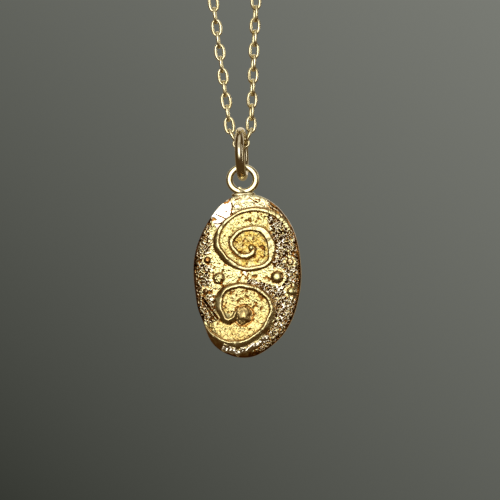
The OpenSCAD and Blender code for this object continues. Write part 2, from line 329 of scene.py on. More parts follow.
def spline(rows, u, closed=False):
    """Smooth curve through evenly spaced rows, at u rows from the first.

    Between two rows a and b, with the rows before and after them, the curve is the cubic that
    passes through a and b with slopes (b - before) / 2 and (after - a) / 2.
    """
    n = len(rows)
    i = np.floor(u).astype(int) if closed else np.clip(np.floor(u).astype(int), 0, n - 2)
    t = u - i
    near = [(i + k) % n if closed else np.clip(i + k, 0, n - 1) for k in (-1, 0, 1, 2)]
    p0, p1, p2, p3 = [rows[k] for k in near]
    if rows.ndim > 1:
        t = t[..., None]
    squared, cubed = 2 * p0 - 5 * p1 + 4 * p2 - p3, 3 * (p1 - p2) + p3 - p0
    return p1 + 0.5 * t * ((p2 - p0) + t * (squared + t * cubed))


def oval_radius(bearing):
    """Distance to the ideal oval: (|c / a| to the power p + |s / b| to the power p) to -1 / p."""
    c, s = np.abs(np.cos(bearing + PLATE_LEAN)), np.abs(np.sin(bearing + PLATE_LEAN))
    return ((c / PLATE_A) ** PLATE_POWER + (s / PLATE_B) ** PLATE_POWER) ** (-1 / PLATE_POWER)


def outline_radius(bearing):
    """Distance to the outline that was cut by hand."""
    return oval_radius(bearing) + spline(EDGE_WOBBLE, bearing / WOBBLE_STEP, closed=True)


def plate_plan(across, up):
    """Places (x, z) of a grid that fills the outline, from the plate's middle.

    The square of u and v from -1 to 1 becomes a disc by u sqrt(1 - v v / 2), v sqrt(1 - u u / 2).
    """
    u, v = np.meshgrid(np.linspace(-1, 1, across + 1), np.linspace(-1, 1, up + 1))
    x, z = PLATE_A * u * np.sqrt(1 - v * v / 2), PLATE_B * v * np.sqrt(1 - u * u / 2)
    c, s = cos(-PLATE_LEAN), sin(-PLATE_LEAN)
    x, z = x * c - z * s, x * s + z * c
    bearing = np.arctan2(z, x)
    share = outline_radius(bearing) / oval_radius(bearing)
    return x * share, z * share


# %% [markdown]
# Each spiral is a ridge that starts at the rim and winds inwards. For each thirty degrees a table
# gives how far the crest is from the spiral's eye, how wide the ridge is on both sides of the crest,
# and how high. Beside each ridge the sand was undercut, and tarnish stays in that narrow crease.

# %% The spirals
COIL_STEP = radians(30)
COIL_TURNS = 3
# Columns: crest from the eye, width outside it, width inside it, height of the crest
UPPER_EYE, UPPER_START = (0.54, 4.07), radians(20)
UPPER_ROWS = np.array([
    [5.6, 0.32, 0.3, 0.28], [5.15, 0.52, 0.32, 0.36], [4.66, 0.36, 0.28, 0.36], [4.36, 0.28, 0.24, 0.36],
    [4.26, 0.4, 0.24, 0.4], [4.17, 0.62, 0.26, 0.44], [3.42, 0.7, 0.28, 0.46], [3.06, 0.5, 0.28, 0.46],
    [3.03, 0.4, 0.3, 0.44], [3.08, 0.38, 0.32, 0.42], [3.2, 0.44, 0.36, 0.42], [2.95, 0.5, 0.5, 0.44],
    [2.72, 0.5, 0.54, 0.44], [2.57, 0.42, 0.44, 0.44], [2.33, 0.34, 0.36, 0.42], [2.2, 0.3, 0.36, 0.4],
    [2.26, 0.36, 0.36, 0.4], [2.3, 0.5, 0.3, 0.42], [1.92, 0.5, 0.28, 0.44], [1.6, 0.44, 0.28, 0.44],
    [1.27, 0.5, 0.28, 0.42], [1.0, 0.5, 0.3, 0.42], [0.72, 0.36, 0.3, 0.4],
])
LOWER_EYE, LOWER_START = (-0.31, -4.48), radians(-165)
LOWER_ROWS = np.array([
    [5.8, 0.75, 0.34, 0.4], [4.95, 1.1, 0.34, 0.56], [4.12, 1.2, 0.34, 0.66], [3.38, 1.1, 0.34, 0.66],
    [3.12, 0.92, 0.34, 0.62], [3.24, 0.76, 0.36, 0.54], [3.46, 0.6, 0.38, 0.48], [3.3, 0.44, 0.42, 0.46],
    [3.3, 0.34, 0.46, 0.46], [3.55, 0.42, 0.4, 0.46], [3.82, 0.62, 0.34, 0.48], [3.4, 0.85, 0.3, 0.5],
    [2.7, 0.9, 0.3, 0.5],
])
# Two rows between which a ridge is level or sharp, and what that adds to its profile's power
UPPER_LEVEL, LOWER_SHARP = (10.5, 14.0, 5.0), (6.0, 10.0, -1.5)
# The profile's power on a narrow and on a broad flank, and the widths between which it changes
ROUND_POWER, STRAIGHT_POWER, FLANK_WIDTHS = 4.0, 1.2, (0.4, 0.75)
SLOPE_STEP = 0.1
CREASE_SPREAD = 0.07
INSIDE_BLEND = 0.4
# The worn crests are a little lower than the table says, and uneven
RIDGE_SHARE, RIDGE_UNEVEN = 0.85, 0.15
LATTICE_CELLS = 256
LATTICE_COS, LATTICE_SIN = 0.8, 0.6


def highest(*values):
    """The highest of several values at each point."""
    return np.maximum.reduce(values)


def soft_step(value, low, high):
    """0 below low and 1 above high, joined by 3 t t - 2 t t t."""
    t = np.clip((value - low) / (high - low), 0, 1)
    return t * t * (3 - 2 * t)


def soft_fall(value, low, high):
    """1 below low and 0 above high, joined in the same way."""
    return 1 - soft_step(value, low, high)


def soft_range(value, low, high, blend):
    """1 between low and high and 0 outside, joined over the given blend."""
    half = blend / 2
    return soft_step(value, low - half, low + half) * soft_fall(value, high - half, high + half)


def bell(value, spread):
    """1 at zero, falling on both sides as exp(-q q), with q the value over the spread."""
    return np.exp(-((value / spread) ** 2))


def bump(q):
    """1 at q = 0, falling as (1 - q q) squared, and 0 from q = 1."""
    return np.where(q < 1, (1 - q * q) ** 2, 0.0)


def dome(q, power):
    """1 at q = 0, falling as 1 - |q| to a power, and 0 from q = 1."""
    return np.maximum(1 - np.abs(q) ** power, 0)


def crest(q, width, level=0.0):
    """A ridge's profile: a dome whose power makes a narrow flank round and a broad one straight.

    Level is added to the power: more makes the top level with steep sides, less makes it sharp.
    """
    change = STRAIGHT_POWER - ROUND_POWER
    power = ROUND_POWER + change * soft_step(width, *FLANK_WIDTHS) + level
    return dome(q, np.maximum(power, STRAIGHT_POWER))


def noise(x, z, size, seed):
    """Random values from -1 to 1 on a slanting lattice of the size in millimetres, softly joined."""
    values = np.random.default_rng(seed).uniform(-1, 1, (LATTICE_CELLS, LATTICE_CELLS))
    x, z = (LATTICE_COS * x - LATTICE_SIN * z) / size, (LATTICE_SIN * x + LATTICE_COS * z) / size
    i, j = np.floor(x).astype(int), np.floor(z).astype(int)
    s, t = soft_step(x - i, 0, 1), soft_step(z - j, 0, 1)
    i, j, next_i, next_j = [k % LATTICE_CELLS for k in (i, j, i + 1, j + 1)]
    near = values[i, j] * (1 - s) + values[next_i, j] * s
    far = values[i, next_j] * (1 - s) + values[next_i, next_j] * s
    return near * (1 - t) + far * t


def coil(x, z, eye, start, rows, shaped):
    """Height of a ridge, the creases beside it, and whether a point is inside the first turn.

    On each turn the distance from the crest is |r - R| R / sqrt(R R + R' R'), where R is the
    crest's radius at that bearing and R' its change per radian. Noise bends the crest a little.
    """
    dx, dz = x - eye[0], z - eye[1]
    r = np.hypot(dx, dz)
    bend = 0.07 * noise(x, z, 0.9, 7) + 0.03 * noise(x, z, 0.35, 8)
    last = len(rows) - 1
    first = start + (np.arctan2(dz, dx) - start) % (2 * pi)
    height, crease, inside = np.zeros_like(r), np.zeros_like(r), np.zeros_like(r)
    for turn in range(COIL_TURNS):
        angle = first + 2 * pi * turn
        on = angle <= start + last * COIL_STEP
        u = np.minimum((angle - start) / COIL_STEP, last)
        radius, wide_outside, wide_inside, top = np.moveaxis(spline(rows, u), -1, 0)
        before, after = np.maximum(u - SLOPE_STEP, 0), np.minimum(u + SLOPE_STEP, last)
        change = spline(rows[:, 0], after) - spline(rows[:, 0], before)
        slope = change / (after - before) / COIL_STEP
        gap = (r - radius) * radius / np.hypot(radius, slope) + bend
        width = np.where(gap > 0, wide_outside, wide_inside)
        q = np.abs(gap) / width
        level = shaped[2] * soft_range(u, shaped[0], shaped[1], 1.0)
        height = highest(height, np.where(on, top * crest(q, width, level), 0))
        crease = highest(crease, np.where(on, bell((q - 1) * width, CREASE_SPREAD), 0))
        if turn == 0:
            inside = np.where(on, np.clip(0.5 - gap / INSIDE_BLEND, 0, 1), 0)
    for k in (0, last):
        bearing = start + k * COIL_STEP
        far = np.hypot(dx - rows[k][0] * cos(bearing), dz - rows[k][0] * sin(bearing))
        height = highest(height, rows[k][3] * crest(far / rows[k][1], rows[k][1]))
    return RIDGE_SHARE * height * (1 + RIDGE_UNEVEN * noise(x, z, 0.7, 9)), crease, inside


# %% [markdown]
# Round grains of metal sit beside the spirals, a knob ends the lower one, and a short straight groove
# lies at its left. The sand's own grain is real form too: it is noise from random numbers with a
# fixed seed, so each run gives the same casting.

# %% Grains, knob and sand
# The darkness of a grain's ring and core is mostly painted shade on its flanks and at its foot
# Columns: place across, place up, radius, height, darkness of its ring and of its core, smoothness
BEADS = [
    [0.8, 3.8, 0.42, 0.5, 0.8, 0.0, 1.0], [-5.02, 2.45, 0.45, 0.3, 0.6, 0.8, 0.4],
    [-3.6, 0.05, 0.78, 0.32, 0.7, 0.0, 0.0], [-5.46, -1.65, 0.4, 0.26, 0.3, 0.5, 0.4],
    [5.78, 1.75, 0.5, 0.24, 0.3, 0.3, 0.5], [3.97, -0.17, 0.8, 0.42, 0.6, 0.5, 1.0],
    [5.8, -2.1, 0.62, 0.42, 0.5, 0.3, 1.0],
]
BEAD_POWER = 3.6
# A dark ring and then a halo of even ground lie round each grain, at these shares of its radius
DARK_RING_AT, DARK_RING_SPREAD = 1.03, 0.12
HALO_AT, HALO_SPREAD = 1.3, 0.35
# The lower ridge's end turns up into the knob along these points
TAIL = [(-3.36, -4.42), (-3.01, -5.29), (-2.6, -5.5), (-1.87, -5.13), (-1.6, -4.55)]
TAIL_HEIGHT, TAIL_OUTSIDE, TAIL_INSIDE = 0.5, 0.85, 0.3
KNOB_PLACE, KNOB_HEIGHT, KNOB_POWER = (-0.62, -4.95), 0.52, 2.2
KNOB_HALF_WIDTH, KNOB_REACH_UP, KNOB_REACH_DOWN = 1.25, 1.4, 1.3
KNOB_RING_SPREAD = 0.12
# The rough lip over the bottom edge runs along these points
LIP = [(-3.4, -9.0), (-2.5, -9.35), (-1.6, -9.75), (-0.7, -9.5), (0.35, -9.1), (1.1, -8.7), (2.2, -8.0)]
LIP_HEIGHT, LIP_WIDTH, LIP_POWER = 0.4, 0.45, 4
# The fine scratches on the burnished top
SCRATCHES = [
    [(-3.34, 8.12), (-2.9, 7.95), (-2.5, 7.7)], [(-3.9, 7.1), (-3.4, 7.02), (-2.7, 7.22)],
    [(-1.5, 9.7), (-1.42, 9.2), (-1.66, 8.3)], [(-2.3, 8.65), (-2.25, 8.6)],
    [(-1.03, 10.08), (-0.36, 10.31)], [(0.81, 10.26), (1.82, 9.56)], [(1.6, 10.09), (2.23, 9.87)],
]
SCRATCH_WIDTH = 0.12
GROOVE_FROM, GROOVE_TO = (-5.9, -2.44), (-4.0, -5.2)
GROOVE_WIDTH, GROOVE_SHARE, GROOVE_SIDES = 0.22, 0.7, 0.2


def beads(x, z):
    """Height of the round grains, how dark they are, how smooth, the halo round them, how rough.

    The ring round a smooth grain is dark all round, and round a rough one at its lower left: painted
    shade.
    """
    found = np.zeros((5, *x.shape))
    for across, up, radius, top, ring, core, shine in BEADS:
        far = np.hypot(x - across, z - up) / radius + 0.08 * noise(x, z, 0.5, 18)
        low_left = soft_fall((x - across) + (z - up), -0.4, 0.4)
        ring_share = np.maximum(max(shine, 0.2), (1 - shine) * low_left)
        dark_ring = ring * ring_share * bell(far - DARK_RING_AT, DARK_RING_SPREAD)
        dark_core = core * soft_fall(far, 0.8, 1.0) * (1 - 0.8 * shine * soft_fall(far, 0.4, 0.8))
        smooth, rough = shine * soft_fall(far, 0.95, 1.1), (1 - shine) * soft_fall(far, 0.8, 0.95)
        halo = bell(far - HALO_AT, HALO_SPREAD)
        dark = highest(dark_ring, dark_core)
        found = np.maximum(found, [top * dome(far, BEAD_POWER), dark, smooth, halo, rough])
    return found


def knob(x, z):
    """The egg that ends the lower spiral, a dome over its reach, and the ring of painted shade round it.
    """
    dx, dz = x - KNOB_PLACE[0], z - KNOB_PLACE[1]
    q = np.hypot(dx / KNOB_HALF_WIDTH, dz / np.where(dz > 0, KNOB_REACH_UP, KNOB_REACH_DOWN))
    q = q + 0.12 * noise(x, z, 0.45, 19)
    lumps = 1 + 0.12 * noise(x, z, 0.4, 20)
    return KNOB_HEIGHT * lumps * dome(q, KNOB_POWER), bell(q - 1, KNOB_RING_SPREAD)


def from_line(x, z, start, end):
    """Distance from the straight line between two points, by its nearest point."""
    along = np.subtract(end, start)
    t = np.clip(((x - start[0]) * along[0] + (z - start[1]) * along[1]) / (along @ along), 0, 1)
    return np.hypot(x - start[0] - t * along[0], z - start[1] - t * along[1])


def from_path(x, z, points):
    """Distance from the lines that join the points."""
    return np.minimum.reduce([from_line(x, z, a, b) for a, b in zip(points, points[1:])])


def tail(x, z):
    """The ridge along TAIL, broad on its right as it runs and narrow on its left."""
    height = np.zeros_like(x)
    for start, end in zip(TAIL, TAIL[1:]):
        on_right = (x - start[0]) * (end[1] - start[1]) > (z - start[1]) * (end[0] - start[0])
        width = np.where(on_right, TAIL_OUTSIDE, TAIL_INSIDE)
        height = highest(height, TAIL_HEIGHT * crest(from_line(x, z, start, end) / width, width))
    return height


def bottom_lip(x, z):
    """The rough lip along LIP: a dome across it, with noise added."""
    q = from_path(x, z, LIP) / LIP_WIDTH + 0.35 * noise(x, z, 0.4, 15)
    return LIP_HEIGHT * dome(q, LIP_POWER) * (1 + 0.4 * noise(x, z, 0.45, 12))


def short_crease(x, z):
    """A straight groove between two low sides: their height and the groove's share."""
    far = from_line(x, z, GROOVE_FROM, GROOVE_TO) / GROOVE_WIDTH
    return GROOVE_SIDES * bump(np.abs(far - 1)), bump(far / GROOVE_SHARE)


def scratches(x, z):
    """1 in the middle of a scratch and 0 beside it."""
    return highest(*[bump(from_path(x, z, points) / SCRATCH_WIDTH) for points in SCRATCHES])


def sand_grain(x, z):
    """Grain from -1 to 1: worm-like ridges where one noise is near zero, with a finer noise added."""
    x = x + 0.12 * noise(x, z, 0.5, 11)
    worms = 1 - 2 * soft_step(np.abs(noise(x, z, 0.25, 1)), 0.12, 0.42)
    return np.clip(0.75 * worms + 0.7 * noise(x, z, 0.14, 2), -1, 1)


# %% [markdown]
# The front is divided into zones, each a share from 0 to 1: the facet that was cut at the upper left,
# the burnished band along the top, the smooth edge with thin parallel lines at the upper right, and
# the coarse grain on both sides and at the bottom.

# %% Zones of the front
# Bearings in degrees, counter-clockwise from the right, and the blend at their ends
FACET, TOP_BAND = (99.5, 119, 2), (70, 99.5, 3)
SMOOTH_EDGE, LOW_GRAINS = (42, 70, 4), (275, 340, 8)
LEFT_GRAIN_SHARE = 0.85
HALO_SMOOTHS = 0.85


def survey(x, z, inset):
    """What is at each point of the front: its zones and the height of each shape there."""
    at = SimpleNamespace()
    bearing = np.degrees(np.arctan2(z, x)) % 360
    upper, upper_crease, at.in_upper = coil(x, z, UPPER_EYE, UPPER_START, UPPER_ROWS, UPPER_LEVEL)
    lower, lower_crease, at.in_lower = coil(x, z, LOWER_EYE, LOWER_START, LOWER_ROWS, LOWER_SHARP)
    at.ridge, at.crease = highest(upper, lower), highest(upper_crease, lower_crease)
    at.inside = highest(at.in_upper, at.in_lower)
    dx, dz = x - UPPER_EYE[0], z - UPPER_EYE[1]
    at.inner = soft_fall(np.hypot(dx, dz), 1.8, 2.6)
    at.outside = (1 - at.inside) * soft_fall(at.ridge, 0.02, 0.12)
    at.facet = soft_range(bearing, *FACET) * soft_step(inset, 0.02, 0.2) * at.outside
    at.by_facet = soft_range(bearing, FACET[0] - 2, FACET[1] + 4, 4) * at.outside
    at.band = soft_range(bearing, *TOP_BAND) * at.outside
    at.smooth_edge = soft_range(bearing, *SMOOTH_EDGE) * at.outside
    at.smooth_edge *= soft_step(dz * cos(UPPER_START) - dx * sin(UPPER_START), -0.1, 0.2)
    right = soft_step(x + 0.4 * noise(x, z, 1.4, 5), 2.9, 3.7) * (1 - at.in_lower)
    left = soft_step(-x + 0.4 * noise(x, z, 1.4, 6), 3.9, 4.9) * (1 - at.inside)
    low = soft_range(bearing, *LOW_GRAINS) * (1 - at.inside)
    at.floor = at.inside * (1 - right)
    at.bead, at.bead_dark, at.bead_smooth, halo, at.bead_rough = beads(x, z)
    grains = highest(right, LEFT_GRAIN_SHARE * left, low)
    at.coarse = grains * (1 - at.smooth_edge) * (1 - at.facet) * (1 - HALO_SMOOTHS * halo)
    at.knob, at.knob_ring = knob(x, z)
    at.egg = highest(at.knob, tail(x, z))
    at.groove_sides, at.groove = short_crease(x, z)
    at.lip, at.sand, at.scratch = bottom_lip(x, z), sand_grain(x, z), scratches(x, z)
    return at


# %% [markdown]
# All heights are added up to one relief, and the same shares give the three attributes that the
# casting's material reads. In the low part of each spiral the ground inside rises, so that the ridge
# falls away on its outer side alone.

# %% Relief and finish of the front
RIM_HEIGHT, RIM_WIDTH, RIM_LEFT_OUT = 0.16, 0.75, 0.85
FLOOR_HEIGHT, FLOOR_RISE = 0.12, 0.24
# The height of the grain in each zone, in millimetres
COARSE_GRAIN, FINE_GRAIN, BAND_GRAIN, BEAD_GRAIN = 0.085, 0.025, 0.03, 0.06
STRIPE_MM, STRIPE_HEIGHT, SWELL = 0.42, 0.06, 0.012
CREASE_DEPTH, GROOVE_DEPTH, SPECK_DEPTH, SCRATCH_DEPTH = 0.035, 0.12, 0.04, 0.035
# How much tarnish or painted shade each kind of place holds, from none at 0 to a black crust at 1
TARNISH_AND_SHADE = {
    "crease": 0.42, "ridge_side": 0.2, "coarse_hollow": 1.0, "fine_hollow": 0.22, "specks": 0.8,
    "floor_spots": 0.2, "bead_dark": 1.0, "knob_ring": 0.82, "egg_body": 0.3, "knob_body": 0.34,
    "bead_smooth": 0.15, "inner": 0.15, "lower_floor": 0.12, "groove": 0.95, "scratch": 0.95,
    "thin_lines": 0.32, "band": 0.14, "outside": 0.06, "rim_dirt": 0.77,
}
# The extra tarnish between the thin lines, as a share of that on the ground there
LINE_CONTRAST = 1.875
# How far each kind of place is burnished and painted with a pale highlight, from 0 to 1
BURNISH_AND_HIGHLIGHT = {"facet": 0.9, "band": 0.24, "grain_top": 0.9, "crest_top": 0.1, "line_top": 0.5, "lip_top": 0.8}


def add_finish_places(at, x, z, inset):
    """Adds the places that hold tarnish or painted shade, or were burnished or get a painted
    highlight, each as a share from 0 to 1.
    """
    at.ridge_side = soft_step(at.ridge, 0.15, 0.3)
    at.coarse_hollow = soft_step(at.coarse, 0.1, 0.6) * at.low_ground * soft_fall(at.sand, -0.8, -0.32)
    plain = at.outside * (1 - at.facet) * (1 - 0.7 * at.band) * at.low_ground
    at.fine_hollow = plain * soft_fall(at.sand, -0.9, -0.1)
    spots = noise(x, z, 0.8, 16) + 0.9 * noise(x, z, 0.16, 17)
    at.floor_spots = at.floor * soft_step(spots, 0.1, 1.0)
    # The dark ring round the knob's foot is painted shade
    at.knob_ring = at.knob_ring * at.low_ground
    at.egg_body, at.knob_body = soft_step(at.egg, 0.02, 0.1), soft_step(at.knob, 0.02, 0.1)
    at.lower_floor = (1 + soft_fall(z, -8.0, -5.0)) * at.in_lower
    at.thin_lines = at.smooth_edge + LINE_CONTRAST * np.maximum(-at.stripes, 0)
    # Painted shade along the rim, where the rounded edge mirrors the dim room
    at.rim_dirt = soft_fall(inset, 0.1, 0.5) * (1 - at.facet) * (1 - at.band)
    at.rim_dirt = at.rim_dirt * soft_fall(at.lip, 0.02, 0.12)
    # The tops of grains, crests, thin lines and the lip catch the lamps: their pale colour is painted
    # highlight
    at.grain_top = at.coarse * at.low_ground * soft_step(at.sand, -0.1, 0.5)
    at.crest_top, at.lip_top = soft_step(at.ridge, 0.22, 0.34), soft_step(at.lip, 0.1, 0.25)
    at.line_top = np.maximum(at.stripes, 0)


def strongest(at, shares):
    """The most that any kind of place gives at each point."""
    return highest(*[share * getattr(at, place) for place, share in shares.items()])


def flank_shade_share(at, z, inset):
    """How much painted shade a steep flank gets: less on grains, on the knob and by the facet."""
    share = (1 - 0.7 * at.bead_smooth) * (1 - 0.9 * at.coarse * at.low_ground)
    share = share * (1 - 0.6 * soft_step(at.egg, 0.2, 0.35)) * (1 - 0.8 * at.by_facet)
    top_rim = soft_step(z, 6.0, 8.0) * soft_fall(inset, 0.4, 0.6)
    return share * soft_fall(at.lip, 0.05, 0.2) * (1 - top_rim)


def relief(x, z, inset):
    """Height over the plate's front, its attributes, and two shares.

    The height is that of the highest shape, plus grain, less creases, grooves and specks. The
    shares say where the shoulder is left out and how much painted shade a steep flank gets.
    """
    at = survey(x, z, inset)
    rim = RIM_HEIGHT * bump(np.abs(inset - RIM_WIDTH) / RIM_WIDTH)
    rim = rim * (1 - at.facet) * (1 - RIM_LEFT_OUT * at.band)
    low_parts = at.in_lower * soft_fall(z, -7.6, -4.0) + at.in_upper * soft_fall(z, 0.8, 3.0)
    level_parts = (at.in_lower + at.in_upper * (1 - at.inner)) * (1 - low_parts)
    rise = FLOOR_RISE * low_parts + FLOOR_HEIGHT * level_parts
    form = highest(at.ridge, rim, at.lip, at.bead, at.egg, at.groove_sides, rise)
    at.low_ground = soft_fall(form - rise, 0.1, 0.3) * soft_fall(at.ridge, 0.06, 0.18)
    at.low_ground = highest(at.low_ground, at.bead_rough)
    at.crease = at.crease * at.low_ground
    specks = soft_step(noise(x, z, 0.3, 13) + 0.35 * noise(x, z, 1.6, 14), 0.52, 0.75)
    at.specks = specks * (1 - 0.6 * at.band) * at.low_ground
    stripe_turns = (inset + 0.15 * noise(x, z, 1.2, 21)) / STRIPE_MM
    at.stripes = at.smooth_edge * np.sin(2 * pi * stripe_turns)
    amount = highest(COARSE_GRAIN * at.coarse, FINE_GRAIN * at.outside * (1 - at.facet))
    amount = amount + FINE_GRAIN * at.inside
    amount = highest(amount, BAND_GRAIN * at.band, BEAD_GRAIN * at.bead_rough)
    height = STRIPE_HEIGHT * at.stripes + form
    height += amount * (0.3 + 0.7 * at.low_ground) * (1 - at.bead_smooth) * at.sand
    height += SWELL * noise(x, z, 0.9, 3) * (1 - at.facet)
    height -= CREASE_DEPTH * at.crease + GROOVE_DEPTH * at.groove
    height -= SPECK_DEPTH * at.specks + SCRATCH_DEPTH * at.scratch
    warmth = 0.6 + 0.4 * at.in_upper * soft_step(x - z, -5.5, -1.5) + 0.6 * at.inner
    add_finish_places(at, x, z, inset)
    attributes = {
        "floor": at.floor * at.low_ground * warmth,
        "bright": strongest(at, BURNISH_AND_HIGHLIGHT),
        "tarnish_and_shade": strongest(at, TARNISH_AND_SHADE),
    }
    flat = highest(at.facet, 0.5 * at.band, soft_step(at.lip, 0.02, 0.12))
    return height, attributes, flat, flank_shade_share(at, z, inset)


# %% [markdown]
# The side and the back are rings of the outline, closed by a flat fan, because the back of the real
# one can't be seen and is plain.

# %% The cast plate
CELLS_ACROSS, CELLS_UP = 220, 320
PLATE_THICK = 1.7
PLATE_BACK = 0.05
EDGE_RADIUS = 0.3
SHOULDER_STEP, SHOULDER_POWER = radians(45), 1.5
# How wide the front's shoulder is, and how far it falls, for each 45 degrees from the right
SHOULDER = np.array([
    [1.4, 0.2], [1.6, 0.2], [1.8, 0.2], [1.8, 0.4], [2.2, 0.6], [2.0, 0.5], [1.4, 0.3], [1.6, 0.35],
])
# Steep flanks get the tarnish colours as painted shade: up to this share, rising between these slopes
FLANK_SHADE = 0.5
FLANK_SLOPES = (0.05, 0.22)
BACK_RINGS = 8
BACK_CHAMFER = 0.3
BACK_LOOK = {"floor": 0.0, "bright": 0.3, "tarnish_and_shade": 0.0}


def plate_front():
    """The grid of the front's points, and their attributes.

    Within R of the outline the edge drops by R - sqrt(R R - d d), with d what is missing to R. The
    shoulder drops by its fall times (1 - inset / width) to the power 1.5. A flank's steepness is 1
    less the cosine between its normal and the plate's own, and steep flanks get painted shade.
    """
    x, z = plate_plan(CELLS_ACROSS, CELLS_UP)
    bearing = np.arctan2(z, x)
    inset = np.maximum(outline_radius(bearing) - np.hypot(x, z), 0)
    missing = np.maximum(EDGE_RADIUS - inset, 0)
    drop = EDGE_RADIUS - np.sqrt(np.maximum(EDGE_RADIUS**2 - missing**2, 0))
    height, attributes, flat, flank = relief(x, z, inset)
    wide, fall = np.moveaxis(spline(SHOULDER, bearing / SHOULDER_STEP, closed=True), -1, 0)
    shoulder = fall * np.maximum(1 - inset / wide, 0) ** SHOULDER_POWER * (1 - flat)
    depth = -PLATE_THICK / 2 - np.minimum(inset / EDGE_RADIUS, 1) * height + drop + shoulder
    front = np.stack([x, depth, z], -1)
    normal = np.cross(np.gradient(front, axis=0), np.gradient(front, axis=1))
    steep = 1 - np.abs(normal[..., 1]) / np.maximum(np.linalg.norm(normal, axis=-1), 1e-12)
    # Painted shade on steep flanks, which mirror the dim room in front
    painted_flank_shade = FLANK_SHADE * flank * soft_step(steep, *FLANK_SLOPES)
    attributes["tarnish_and_shade"] = highest(attributes["tarnish_and_shade"], painted_flank_shade)
    return front, attributes


def plate_back(edge):
    """Rings of points from the front's edge straight back, over the chamfer and in to a middle point."""
    plan = edge * [1, 0, 1]
    far = np.hypot(edge[:, 0], edge[:, 2])[:, None]
    rings = [plan + [0, PLATE_THICK / 2 - BACK_CHAMFER, 0]]
    for k in range(BACK_RINGS):
        share = (1 - BACK_CHAMFER / far) * (1 - k / BACK_RINGS)
        rings.append(plan * share + [0, PLATE_THICK / 2, 0])
    return np.concatenate([*rings, [[0, PLATE_THICK / 2, 0]]])


# One closed mesh of the front, the side and the back
front, attributes = plate_front()
rows, columns = front.shape[:2]
number = np.arange(rows * columns).reshape(rows, columns)
rim = np.concatenate([number[0, :-1], number[:-1, -1], number[-1, :0:-1], number[:0:-1, 0]])
front = front.reshape(-1, 3)
back = plate_back(front[rim])
middle = len(front) + len(back) - 1
rings = np.concatenate([rim[None], np.arange(len(front), middle).reshape(-1, len(rim))])
a, b = rings[:-1], rings[1:]
walls = np.stack([a, np.roll(a, -1, 1), np.roll(b, -1, 1), b], -1).reshape(-1, 4)
fan = np.stack([rings[-1], np.roll(rings[-1], -1), np.full(len(rim), middle)], -1)
points = np.concatenate([front, back]) + [0, PLATE_BACK, PLATE_MIDDLE]
faces = [grid_faces(rows, columns)[:, ::-1], walls, fan]
for name, values in attributes.items():
    attributes[name] = np.concatenate([values.ravel(), np.full(len(back), BACK_LOOK[name])])
piece = make_piece("cast_plate", points, faces, cast_gold, "drop", ["pendant"], attributes)

# %% [markdown]
# A tube is a ring of points carried along a path. The path gives a middle line and two directions
# square to it, and the ring's section is a circle or a squarish oval for flattened wire.

# %% Tubes


def round_angles(count):
    """Evenly spaced angles once round."""
    return np.linspace(0, 2 * pi, count, endpoint=False)


def oval(angle, half_a, half_b, power=2.0):
    """Points of |a / half_a| to the power p + |b / half_b| to the power p = 1 at the angles."""
    arrows = np.stack([np.cos(angle), np.sin(angle)], -1)
    return np.sign(arrows) * np.abs(arrows) ** (2 / power) * [half_a, half_b]


def upright(places):
    """Points or directions (x, 0, z) in the XZ plane."""
    return np.stack([places[:, 0], 0 * places[:, 0], places[:, 1]], -1)


def tube(middle, outward, sideways, shape):
    """Points middle + outward a + sideways b for each (a, b) of the section, row by row."""
    across, along = outward[:, None] * shape[:, :1], sideways[:, None] * shape[:, 1:]
    return (middle[:, None] + across + along).reshape(-1, 3)


# %% [markdown]
# The loop on the plate is a wire bent until its ends pass each other, which leaves a slanting seam at
# the bottom, and a flat drop of solder joins it to the plate. The wire was hammered a little flat, so
# its face is bright over nearly all its width.

# %% Loop and solder foot
LOOP_RADIUS, LOOP_WIRE, LOOP_OVER_PLATE = 1.6, 0.8, 12.7
LOOP_FROM, LOOP_TO = radians(-118), radians(292)
LOOP_END_TURN = radians(45)
LOOP_STRETCH, LOOP_POWER = 1.08, 2.8
LOOP_PINCH, LOOP_SPREAD, LOOP_TAPER = 0.42, 0.12, 0.45
FOOT_WIDTH, FOOT_DEPTH, FOOT_HEIGHT, FOOT_POWER = 3.1, 1.0, 0.42, 2.6
FOOT_UNDER_WIRE = 0.38
# Rows of points along a piece, and points round each row
LOOP_GRID, FOOT_GRID = (150, 24), (11, 40)
SIDEWAYS = np.array([[0.0, 1.0, 0.0]])


def capped(count, sides):
    """Faces of a row of rings with a fan at each end, whose middle points come last."""
    k, top_row, first = np.arange(sides), (count - 1) * sides, count * sides
    low = np.stack([(k + 1) % sides, k, np.full(sides, first)], -1)
    high = np.stack([top_row + k, top_row + (k + 1) % sides, np.full(sides, first + 1)], -1)
    return [grid_faces(count, sides, close_columns=True), low, high]


def loop_wire(around, sides):
    """The open ring: its first end is drawn inwards and its last end outwards where they pass.

    The radius is R - pinch f + spread l, and the wire's size 1 - taper (f + l), where f and l rise
    from 0 to 1 by the soft step over the last 45 degrees before each end.
    """
    angle = np.linspace(LOOP_FROM, LOOP_TO, around)
    at_first = soft_fall(angle, LOOP_FROM, LOOP_FROM + LOOP_END_TURN)
    at_last = soft_step(angle, LOOP_TO - LOOP_END_TURN, LOOP_TO)
    radius = LOOP_RADIUS - LOOP_PINCH * at_first + LOOP_SPREAD * at_last
    size = (1 - LOOP_TAPER * (at_first + at_last))[:, None]
    outward = upright(oval(angle, 1, 1))
    middle = outward * radius[:, None]
    shape = oval(round_angles(sides), LOOP_WIRE / 2, LOOP_WIRE / 2, LOOP_POWER)
    points = tube(middle, outward * size, SIDEWAYS * size, shape)
    return np.concatenate([points, middle[:1], middle[-1:]])


